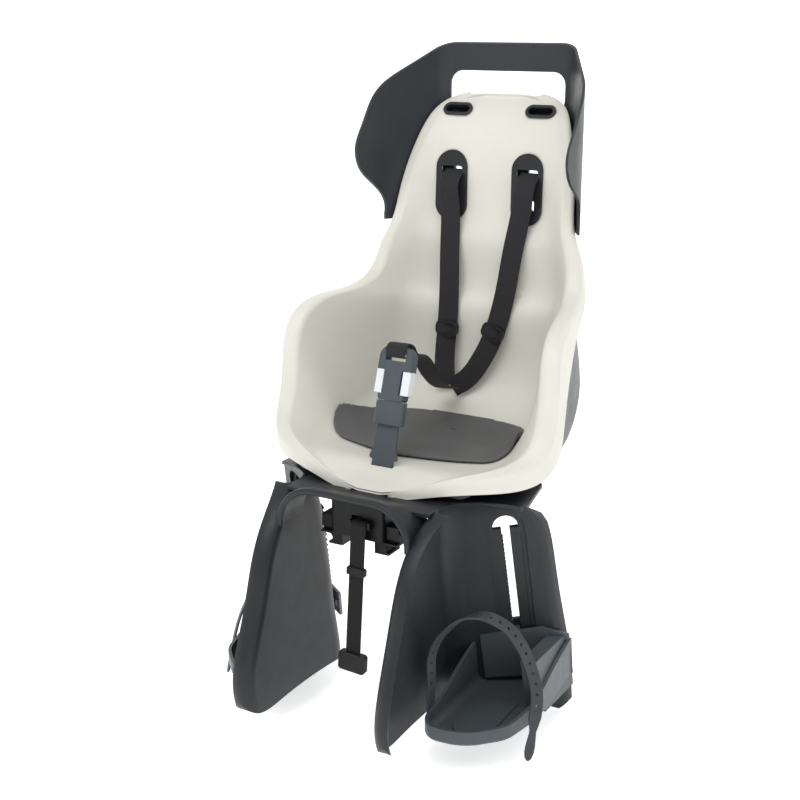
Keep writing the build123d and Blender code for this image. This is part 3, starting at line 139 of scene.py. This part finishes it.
def colour(red, green, blue):
    """Screen colour, 0 to 255, as a linear one."""
    parts = [c / 255 for c in (red, green, blue)]
    return tuple(c / 12.92 if c <= 0.04045 else ((c + 0.055) / 1.055) ** 2.4 for c in parts) + (1.0,)


def moulded(name, base, shade, rough, grain=0.00005, gloss=0.3):
    """Moulded plastic: spark-eroded grain, faint flow clouds and gloss that handling has evened out."""
    material, shader, place = new_material(name)
    clouds = place.noise(9.0, 4.0)
    handled = place.noise(38.0, 5.0, 0.65)
    fine = place.noise(1400.0, 2.0, 0.5)
    feed(shader,
         Base_Color=clouds.span(0.35, 0.65).mix(base, shade),
         Roughness=handled.span(0.3, 0.7, rough - 0.05, rough + 0.06) + (fine - 0.5) * 0.1,
         Normal=fine.bump(0.3, grain),
         Specular_IOR_Level=gloss)
    return material


def dress(material, *names):
    """Give CAD nodes a finish."""
    for name in names:
        finishes = nodes[name].data.materials
        finishes.clear()
        finishes.append(material)


slate = moulded("slate polypropylene", colour(37, 39, 42), colour(33, 35, 38), 0.42)
dress(slate, "leg_guard_base")


# Carrier clamp: black glass-filled nylon housing and jaws under the deck, with a zinc-plated
# spindle. The spindle's two ends have opposite threads, and its thumbwheel is moulded on.
black = moulded("black nylon", colour(24, 24, 25), colour(18, 18, 19), 0.48, 0.00008, 0.25)
dress(black, "clamp_housing", "clamp_jaw_left", "clamp_jaw_right")


def zinc(name, thread_pitch=None, wheel_half=None):
    """Zinc-plated steel with its cloudy spangle, and a rolled thread where a pitch is given."""
    material, shader, place = new_material(name)
    spangle = place.cells(420.0)
    fine = place.noise(900.0)
    bright = spangle.span(0.0, 0.8).mix(colour(176, 178, 182), colour(150, 152, 156))
    height = fine * 0.3
    feed(shader, Metallic=1.0, Base_Color=bright, Roughness=spangle.span(0.0, 0.8, 0.24, 0.38))
    if thread_pitch:
        along = place.part("X")
        steel_part = along.maths("ABSOLUTE").maths("GREATER_THAN", wheel_half)
        height = (along * (2 * math.pi / thread_pitch)).maths("SINE") * steel_part + fine * 0.1
        feed(shader,
             Base_Color=steel_part.mix(colour(32, 32, 34), bright),
             Metallic=steel_part * 1.0,
             Roughness=steel_part.span(0.0, 1.0, 0.5, 0.3))
    feed(shader, Normal=height.bump(0.5, 0.0004))
    return material


spindle_pitch = 0.005
thumbwheel_half = 0.0062
dress(zinc("zinc spindle", spindle_pitch, thumbwheel_half), "clamp_spindle")
steel = zinc("zinc screws")
dress(steel, "clamp_screws", "base_bolts")


# Strap for the bicycle's frame: narrow woven webbing folded over the clamp's bar and sewn to
# itself, with a keeper loop and a ladder buckle of black nylon at its free end.
def row_tree():
    """Geometry Nodes tree that sets copies of one cell end to end along X and welds them."""
    tree = bpy.data.node_groups.new("row of cells", "GeometryNodeTree")
    sockets = (("Geometry", "Geometry"), ("Cell", "Object"), ("Count", "Int"),
               ("Pitch", "Float"), ("Finish", "Material"))
    for name, kind in sockets:
        tree.interface.new_socket(name, in_out="INPUT", socket_type="NodeSocket" + kind)
    tree.interface.new_socket("Geometry", in_out="OUTPUT", socket_type="NodeSocketGeometry")
    given = tree.nodes.new("NodeGroupInput")
    cell = tree.nodes.new("GeometryNodeObjectInfo")
    step = tree.nodes.new("ShaderNodeCombineXYZ")
    line = tree.nodes.new("GeometryNodeMeshLine")
    copies = tree.nodes.new("GeometryNodeInstanceOnPoints")
    real = tree.nodes.new("GeometryNodeRealizeInstances")
    weld = tree.nodes.new("GeometryNodeMergeByDistance")
    finish = tree.nodes.new("GeometryNodeSetMaterial")
    result = tree.nodes.new("NodeGroupOutput")
    weld.inputs["Distance"].default_value = 0.000005
    tree.links.new(given.outputs["Cell"], cell.inputs["Object"])
    tree.links.new(given.outputs["Count"], line.inputs["Count"])
    tree.links.new(given.outputs["Pitch"], step.inputs["X"])
    tree.links.new(step.outputs[0], line.inputs["Offset"])
    tree.links.new(line.outputs["Mesh"], copies.inputs["Points"])
    tree.links.new(cell.outputs["Geometry"], copies.inputs["Instance"])
    tree.links.new(copies.outputs[0], real.inputs[0])
    tree.links.new(real.outputs[0], weld.inputs[0])
    tree.links.new(weld.outputs[0], finish.inputs["Geometry"])
    tree.links.new(given.outputs["Finish"], finish.inputs["Material"])
    tree.links.new(finish.outputs[0], result.inputs[0])
    return tree


rows = row_tree()


def row_of(cell_mesh, count, pitch, finish, start=0.0):
    """Flat row of one cell, along X from start."""
    cell = bpy.data.objects.new("cell", cell_mesh)
    holder = bpy.data.objects.new("row", bpy.data.meshes.new("row"))
    scene.collection.objects.link(cell)
    scene.collection.objects.link(holder)
    modifier = holder.modifiers.new("row", "NODES")
    modifier.node_group = rows
    given = {"Cell": cell, "Count": count, "Pitch": pitch, "Finish": finish}
    for item in rows.interface.items_tree:
        if item.in_out == "INPUT" and item.name in given:
            modifier[item.identifier] = given[item.name]
    depsgraph = bpy.context.evaluated_depsgraph_get()
    mesh = bpy.data.meshes.new_from_object(holder.evaluated_get(depsgraph))
    bpy.data.objects.remove(holder)
    bpy.data.objects.remove(cell)
    mesh.materials.clear()
    mesh.materials.append(finish)
    for vertex in mesh.vertices:
        vertex.co.x += start
    return mesh


def smooth_line(points):
    """Close-set spots on a smooth line through points given in millimetres."""
    data = bpy.data.curves.new("line", "CURVE")
    data.dimensions = "3D"
    spline = data.splines.new("BEZIER")
    spline.resolution_u = 24
    spline.bezier_points.add(len(points) - 1)
    for knot, spot in zip(spline.bezier_points, points):
        knot.co = Vector(spot) / 1000
        knot.handle_left_type = "AUTO"
        knot.handle_right_type = "AUTO"
    holder = bpy.data.objects.new("line", data)
    scene.collection.objects.link(holder)
    depsgraph = bpy.context.evaluated_depsgraph_get()
    mesh = bpy.data.meshes.new_from_object(holder.evaluated_get(depsgraph))
    spots = [vertex.co.copy() for vertex in mesh.vertices]
    bpy.data.objects.remove(holder)
    return spots


def line_length(spots):
    """Length of a line."""
    return sum((b - a).length for a, b in zip(spots, spots[1:]))


def lay(mesh, spots, across, across_end=None):
    """Bend a flat row onto a line: x runs along it, y across it and z away from it.

    The strap turns from one direction across to the other between the line's ends."""
    reach = [0.0]
    for a, b in zip(spots, spots[1:]):
        reach.append(reach[-1] + (b - a).length)
    ends = [spots[0]] + spots + [spots[-1]]
    leads = [(after - before).normalized() for before, after in zip(ends, ends[2:])]
    cloth = mesh.uv_layers.new(name="cloth")
    for loop in mesh.loops:
        cloth.data[loop.index].uv = mesh.vertices[loop.vertex_index].co.xy
    first = Vector(across)
    last = Vector(across_end or across)
    for vertex in mesh.vertices:
        x, y, z = vertex.co
        across = first.lerp(last, x / reach[-1])
        i = min(max(bisect.bisect_right(reach, x) - 1, 0), len(spots) - 2)
        share = (x - reach[i]) / (reach[i + 1] - reach[i])
        along = leads[i].lerp(leads[i + 1], share).normalized()
        side = (across - along * across.dot(along)).normalized()
        vertex.co = spots[i].lerp(spots[i + 1], share) + side * y + along.cross(side) * z
    return mesh


def finished(name, meshes, body, replaced=()):
    """One piece from laid rows, its open ends closed, riding on a body."""
    joined = bmesh.new()
    finishes = [mesh.materials[0] for mesh in meshes]
    for index, mesh in enumerate(meshes):
        for polygon in mesh.polygons:
            polygon.material_index = index
            polygon.use_smooth = True
        joined.from_mesh(mesh)
    bmesh.ops.holes_fill(joined, edges=[edge for edge in joined.edges if edge.is_boundary])
    bmesh.ops.recalc_face_normals(joined, faces=joined.faces)
    data = bpy.data.meshes.new(name)
    joined.to_mesh(data)
    joined.free()
    for finish in finishes:
        data.materials.append(finish)
    data.set_sharp_from_angle(angle=math.radians(50))
    piece = bpy.data.objects.new(name, data)
    scene.collection.objects.link(piece)
    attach(piece, body)
    if replaced:
        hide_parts(*replaced)
    return piece


def webbing_cell(length, width, wall):
    """A short open length of webbing with rounded selvedges."""
    around = 24
    section = []
    for i in range(around):
        turn = 2 * math.pi * i / around
        y = math.copysign(abs(math.cos(turn)) ** 0.35, math.cos(turn)) * width / 2
        z = math.copysign(abs(math.sin(turn)) ** 0.7, math.sin(turn)) * wall / 2
        section.append((y, z))
    corners = [(x, y, z) for x in (0.0, length) for y, z in section]
    faces = [(i, (i + 1) % around, around + (i + 1) % around, around + i) for i in range(around)]
    mesh = bpy.data.meshes.new("webbing cell")
    mesh.from_pydata(corners, [], faces)
    return mesh


def woven(name, dark, light, width):
    """Polyester webbing: a fine twill that follows the strap, with firmer selvedges."""
    material, shader, place = new_material(name)
    cloth = Shade(place.tree, place.node("ShaderNodeUVMap", uv_map="cloth").socket)
    along = cloth.part("X")
    over = cloth.part("Y")
    twill, slant_pitch, yarn_pitch = 0.0016, 0.006, 0.0011
    selvedge = (0.0022, 0.0016)
    slant = (over * (2 * math.pi / slant_pitch)).maths("SINE") * 1.5
    ribs = (along * (2 * math.pi / twill) + slant).maths("SINE")
    yarns = (over * (2 * math.pi / yarn_pitch)).maths("SINE")
    weave = ribs * 0.6 + yarns * 0.4
    fuzz = place.noise(2200.0, 3.0)
    edge = over.maths("ABSOLUTE").span(width / 2 - selvedge[0], width / 2 - selvedge[1])
    feed(shader,
         Base_Color=(weave.span(-1.0, 1.0) * 0.7 + fuzz * 0.3).mix(dark, light),
         Roughness=fuzz.span(0.3, 0.7, 0.68, 0.86),
         Normal=(weave * (1 - edge * 0.5) + fuzz * 0.6).bump(0.6, 0.00018),
         Specular_IOR_Level=0.2,
         Sheen_Weight=0.08,
         Sheen_Roughness=0.5)
    return material


def stitch_cell(length, thick):
    """One stitch of thread, as a small pillow."""
    body = bmesh.new()
    bmesh.ops.create_uvsphere(body, u_segments=8, v_segments=5, radius=0.5)
    for vertex in body.verts:
        vertex.co = Vector((vertex.co.z * length, vertex.co.x * thick, vertex.co.y * thick))
    mesh = bpy.data.meshes.new("stitch")
    body.to_mesh(mesh)
    body.free()
    return mesh


def thread(name, base, shade):
    """Sewing thread with its twist."""
    material, shader, place = new_material(name)
    twist = place.noise(3000.0)
    feed(shader, Base_Color=twist.mix(base, shade), Roughness=0.6, Normal=twist.bump(0.4, 0.0001))
    return material


def seam(spots, across, start, count, sides, lift, finish, across_end=None):
    """Rows of stitches on a laid strap, side by side at the given places across it."""
    pitch, stitch, thick = 0.0034, 0.0028, 0.0007
    made = []
    for side in sides:
        row = row_of(stitch_cell(stitch, thick), count, pitch, finish, start)
        for vertex in row.vertices:
            vertex.co.y += side
            vertex.co.z += lift
        made.append(lay(row, spots, across, across_end))
    return made


frame_width = 0.020
web_wall = 0.0016
stitch_lift = 0.0009
lean = math.radians(3.2)
bar_x = 9.0
bar_z = 24.0
sideways = (1, 0, 0)
seam_from_end = 0.055
seam_stitches = 5
seam_rows = (-0.006, -0.002, 0.002, 0.006)
hang = [(-27.3, -151.5), (-27.3, -90), (-27.3, -30), (-27.3, 18), (-26.6, 26.2), (-23.5, 27.9),
        (-20.4, 26.2), (-19.7, 21), (-19.7, 15)]
hang = [(bar_x + (z - bar_z) * math.sin(lean), y, bar_z + (z - bar_z) * math.cos(lean))
        for y, z in hang]
black_webbing = woven("narrow black webbing", colour(16, 16, 17), colour(34, 34, 36), frame_width)
black_thread = thread("black thread", colour(40, 40, 42), colour(22, 22, 24))
spots = smooth_line(hang)
length = line_length(spots)
pitch = 0.003
cell = webbing_cell(pitch, frame_width, web_wall)
band = row_of(cell, int(length / pitch), pitch, black_webbing)
sewn = seam(spots, sideways, length - seam_from_end, seam_stitches, seam_rows, stitch_lift, black_thread)
finished("frame_strap_webbing", [lay(band, spots, sideways)] + sewn, "seat", ["frame_strap"])
dress(black, "strap_keeper", "frame_buckle")


# Outer shell: bowl, back, head wings and carrying handle in one moulding of the same dark
# plastic as the base. It stands on the deck on four feet, held by bolts from below.
shell_slate = moulded("shell polypropylene", colour(48, 51, 55), colour(44, 47, 51), 0.4)
dress(shell_slate, "outer_shell")


# Seat tub: a pale satin shell of polypropylene, moulded in one piece with its rolled rim.
# Four screws hold it to the outer shell from behind.
cream = moulded("cream polypropylene", colour(211, 210, 201), colour(206, 205, 195), 0.42, 0.00003, 0.35)
dress(cream, "seat_shell")
dress(steel, "shell_screws")


# Strap guides: two dark plates clipped to the back, and two oval grommets in the top slots,
# where the harness can be moved as the child grows.
dress(slate, "harness_plate_left", "harness_plate_right", "slot_grommet_left", "slot_grommet_right")


# Seat pad: one sheet of dark closed-cell foam, cut to an oval and laid loose in the pan.
# Its cut edge is soft, and a small slot for a fixing peg is punched near its middle.
def foam(name, dark, light):
    """Closed-cell foam with a fine pebbled skin."""
    material, shader, place = new_material(name)
    pebble = place.cells(900.0)
    clouds = place.noise(22.0, 4.0)
    fine = place.noise(1800.0)
    feed(shader,
         Base_Color=(clouds.span(0.3, 0.7) * 0.6 + pebble * 0.4).mix(dark, light),
         Roughness=clouds.span(0.3, 0.7, 0.66, 0.78),
         Normal=(pebble * 0.7 + fine * 0.3).bump(0.45, 0.00015))
    return material


hole_place = (0.007, 0.210)
hole_size = (0.008, 0.0045)
hole_height = 0.08
voxel = 0.0014
pad = bpy.data.objects.new("seat_pad_foam", nodes["seat_pad"].data.copy())
scene.collection.objects.link(pad)
whole = bmesh.new()
whole.from_mesh(pad.data)
bmesh.ops.remove_doubles(whole, verts=whole.verts, dist=0.00001)
whole.to_mesh(pad.data)
whole.free()
punch_body = bmesh.new()
bmesh.ops.create_cone(punch_body, cap_ends=True, segments=20, radius1=0.5, radius2=0.5, depth=0.1)
for vertex in punch_body.verts:
    vertex.co = Vector((hole_place[0] + vertex.co.x * hole_size[0],
                        hole_place[1] + vertex.co.y * hole_size[1],
                        hole_height + vertex.co.z))
punch_mesh = bpy.data.meshes.new("punch")
punch_body.to_mesh(punch_mesh)
punch_body.free()
punch = bpy.data.objects.new("punch", punch_mesh)
scene.collection.objects.link(punch)
cut = pad.modifiers.new("peg slot", "BOOLEAN")
cut.object = punch
cut.operation = "DIFFERENCE"
even = pad.modifiers.new("even skin", "REMESH")
even.mode = "VOXEL"
even.voxel_size = voxel
soft = pad.modifiers.new("soft edge", "SMOOTH")
soft.factor = 0.5
soft.iterations = 6
depsgraph = bpy.context.evaluated_depsgraph_get()
pad_mesh = bpy.data.meshes.new_from_object(pad.evaluated_get(depsgraph))
pad.modifiers.clear()
pad.data = pad_mesh
bpy.data.objects.remove(punch)
pad_mesh.materials.clear()
pad_mesh.materials.append(foam("pad foam", colour(80, 81, 81), colour(97, 98, 98)))
for polygon in pad_mesh.polygons:
    polygon.use_smooth = True
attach(pad, "seat")
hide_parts("seat_pad")


# Buckle: a moulded crotch strap carries the socket, and the tongue plugs in from above.
# Its two pale side buttons are pressed together to let the tongue go.
buckle_slate = moulded("buckle acetal", colour(74, 80, 85), colour(68, 74, 79), 0.36)
dress(buckle_slate, "crotch_strap", "buckle_socket", "buckle_tongue")
pale = moulded("pale acetal", colour(214, 219, 223), colour(206, 211, 216), 0.34)
dress(pale, "buckle_button_left", "buckle_button_right")


# Harness webbing: two shoulder straps from the plates down to a sewn join, and a short link
# from there over the tongue's bar. The oval slide adjusters are black nylon.
harness_width = 0.027
link_width = 0.026
turned = (1, 0.35, 0)
join_from_end = 0.024
join_stitches = 6
join_rows = [-0.009 + 0.003 * i for i in range(7)]
harness_webbing = woven("harness webbing", colour(26, 25, 27), colour(50, 49, 52), harness_width)
left_line = [(-51, 322, 393), (-51, 304, 376), (-50, 307, 345), (-50, 306, 287),
             (-48, 301, 220), (-48, 297, 184), (-48, 291, 146), (-42, 281, 110)]
right_line = [(57, 322, 393), (57, 304, 376), (52, 306, 345), (42, 306, 295),
              (32, 301, 227), (22, 297, 186), (8, 290, 150), (-10, 282, 122), (-28, 275, 109)]
link_line = [(0, 84, 197.5), (0, 76.2, 199.8), (0, 74.2, 204), (0, 76.6, 211.5), (0, 82, 214.4),
             (0, 96, 209.8), (0, 105.5, 198.5), (0, 128, 190.8), (-8, 180, 150), (-20, 232, 122),
             (-27, 268, 110)]
pitch = 0.004
for name, line, replaced, width in (
        ("shoulder_webbing_left", left_line, "shoulder_strap_left", harness_width),
        ("shoulder_webbing_right", right_line, "shoulder_strap_right", harness_width),
        ("buckle_link_webbing", link_line, "buckle_web", link_width)):
    spots = smooth_line(line)
    length = line_length(spots)
    count = int(length / pitch)
    band = row_of(webbing_cell(length / count, width, web_wall), count, length / count, harness_webbing)
    sewn = seam(spots, sideways, length - join_from_end, join_stitches, join_rows, -stitch_lift,
                black_thread, turned)
    finished(name, [lay(band, spots, sideways, turned)] + sewn, "seat", [replaced])
dress(black, "strap_adjuster_left", "strap_adjuster_right")


# Footrests: dark blue-grey toe trays. Each has a neck that runs in the guard's slot to a black
# slide behind it, with a pale latch lever on a steel pin.
foot_slate = moulded("footrest polypropylene", colour(74, 80, 84), colour(67, 73, 77), 0.38)
dress(foot_slate, "footrest_left", "footrest_right")
dress(black, "footrest_guide_left", "footrest_guide_right")
latch_grey = moulded("latch acetal", colour(168, 171, 175), colour(158, 161, 166), 0.4)
dress(latch_grey, "footrest_latch_left", "footrest_latch_right")
dress(steel, "latch_pin_left", "latch_pin_right")


# Foot straps: soft elastomer straps with a row of punched holes, fixed to the tray's inner wall
# and led over the foot to its outer side, with a paddle at the free end to pull on.
def strap_cell(length, width, wall, hole):
    """One pitch of the strap, open at both ends; its hole is left out where hole is 0."""
    steps = 4
    rim = [(length * i / steps, -width / 2) for i in range(steps)]
    rim += [(length, width * (i / steps - 0.5)) for i in range(steps)]
    rim += [(length * (1 - i / steps), width / 2) for i in range(steps)]
    rim += [(0.0, width * (0.5 - i / steps)) for i in range(steps)]
    turns = [math.atan2(y / width, x / length - 0.5) for x, y in rim]
    inner = [(length / 2 + hole * math.cos(turn), hole * math.sin(turn)) for turn in turns]
    body = bmesh.new()
    rings = []
    for points, z in ((rim, wall / 2), (inner, wall / 2), (inner, -wall / 2), (rim, -wall / 2)):
        rings.append([body.verts.new((x, y, z)) for x, y in points])
    top, top_hole, low_hole, low = rings
    bands = list(zip(rings, rings[1:])) if hole else [(top, top_hole), (low_hole, low)]
    for outer, other in bands:
        for i in range(len(rim)):
            j = (i + 1) % len(rim)
            body.faces.new((outer[i], outer[j], other[j], other[i]))
    for i in list(range(steps)) + list(range(2 * steps, 3 * steps)):
        body.faces.new((low[i], low[i + 1], top[i + 1], top[i]))
    bmesh.ops.remove_doubles(body, verts=body.verts, dist=0.000001)
    mesh = bpy.data.meshes.new("strap cell")
    body.to_mesh(mesh)
    body.free()
    return mesh


foot_width = 0.016
foot_wall = 0.0026
foot_hole = 0.0017
hole_pitch = 0.0125
paddle_length = 0.050
tail_steps = 12
paddle = [(0.0, 0.12), (0.003, 0.5), (0.010, 0.72), (0.018, 0.72), (0.034, 0.5), (0.050, 1.0)]
root_x = 102.1
foot_line = [(root_x, -22, -199), (root_x, -22, -185), (root_x, -21, -150), (root_x, -18, -118),
             (114, -8, -92), (140, 8, -74), (168, 26, -84), (188, 36, -110), (201, 39, -140),
             (211, 34, -166), (214, 22, -196), (214, 6, -238)]
foot_rubber = moulded("strap elastomer", colour(62, 65, 69), colour(56, 59, 63), 0.5, 0.00004)
for side, word in ((1, "right"), (-1, "left")):
    spots = smooth_line([(side * x, y, z) for x, y, z in foot_line])
    length = line_length(spots)
    holes = int((length - paddle_length) / hole_pitch)
    plain = length - holes * hole_pitch
    bar = row_of(strap_cell(hole_pitch, foot_width, foot_wall, foot_hole), holes, hole_pitch, foot_rubber)
    step = plain / tail_steps
    tail = row_of(strap_cell(step, foot_width, foot_wall, 0.0), tail_steps, step, foot_rubber,
                  holes * hole_pitch)
    for vertex in tail.vertices:
        left = max(length - vertex.co.x, 0.0)
        for (near, share), (far, next_share) in zip(paddle, paddle[1:]):
            if near <= left <= far:
                blend = (left - near) / (far - near)
                vertex.co.y *= share + (next_share - share) * blend
                break
    across_end = (0.7 * side, 0.7, 0)
    laid = [lay(part, spots, (0, 1, 0), across_end) for part in (bar, tail)]
    strap = finished("foot_strap_rubber_" + word, laid, "footrest_" + word,
                     ["foot_strap_" + word])
    rounder = strap.modifiers.new("soft edges", "BEVEL")
    rounder.width = 0.0005
    rounder.segments = 2
    rounder.limit_method = "ANGLE"


# Studio: a white paper floor that runs up into a far wall, soft light from all round, a broad
# key light from above and two weaker ones from the sides.
floor_size = 30.0
wall_y = 12.0
floor_glow = 0.55
room_light = 0.63
floor_z = cad_low[2] - 0.001
corners = [(-floor_size, -floor_size, floor_z), (floor_size, -floor_size, floor_z),
           (floor_size, wall_y, floor_z), (-floor_size, wall_y, floor_z),
           (floor_size, wall_y, floor_size), (-floor_size, wall_y, floor_size)]
mesh = bpy.data.meshes.new("floor")
mesh.from_pydata(corners, [], [(0, 1, 2, 3), (3, 2, 4, 5)])
floor = bpy.data.objects.new("floor", mesh)
scene.collection.objects.link(floor)
paper, shader, place = new_material("floor paper")
fibres = place.noise(300.0)
feed(shader,
     Base_Color=fibres.mix(colour(252, 252, 252), colour(248, 248, 248)),
     Roughness=0.9,
     Emission_Color=(1, 1, 1, 1),
     Emission_Strength=floor_glow)
mesh.materials.append(paper)

world = bpy.data.worlds.new("studio")
world.use_nodes = True
sky = world.node_tree.nodes["Background"]
sky.inputs["Color"].default_value = (1, 1, 1, 1)
sky.inputs["Strength"].default_value = room_light
scene.world = world
scene.view_settings.view_transform = "Standard"

for name, spot, aim, width, power in (
        ("key", (0.1, -1.6, 2.8), (0, 0.2, 0.2), 2.0, 44.0),
        ("right", (2.0, -0.8, 2.4), (0, 0.2, 0.3), 1.5, 9.0),
        ("left", (-1.7, -1.4, 2.3), (0, 0.2, 0.2), 1.6, 9.0)):
    lamp = bpy.data.lights.new(name, "AREA")
    lamp.size = width
    lamp.energy = power
    holder = bpy.data.objects.new(name, lamp)
    holder.location = spot
    holder.rotation_euler = (Vector(aim) - Vector(spot)).to_track_quat("-Z", "Y").to_euler()
    scene.collection.objects.link(holder)

# Camera: fitted to mirror pairs of points on the photograph.
camera_place = (0.73931, -1.21325, 0.58576)
camera_dip = 16.46
camera_turn = 29.66
lens = bpy.data.cameras.new("camera")
lens.sensor_width = 36.0
lens.lens = 58.5
camera = bpy.data.objects.new("camera", lens)
camera.location = camera_place
camera.rotation_euler = (math.radians(90 - camera_dip), 0, math.radians(camera_turn))
scene.collection.objects.link(camera)
scene.camera = camera
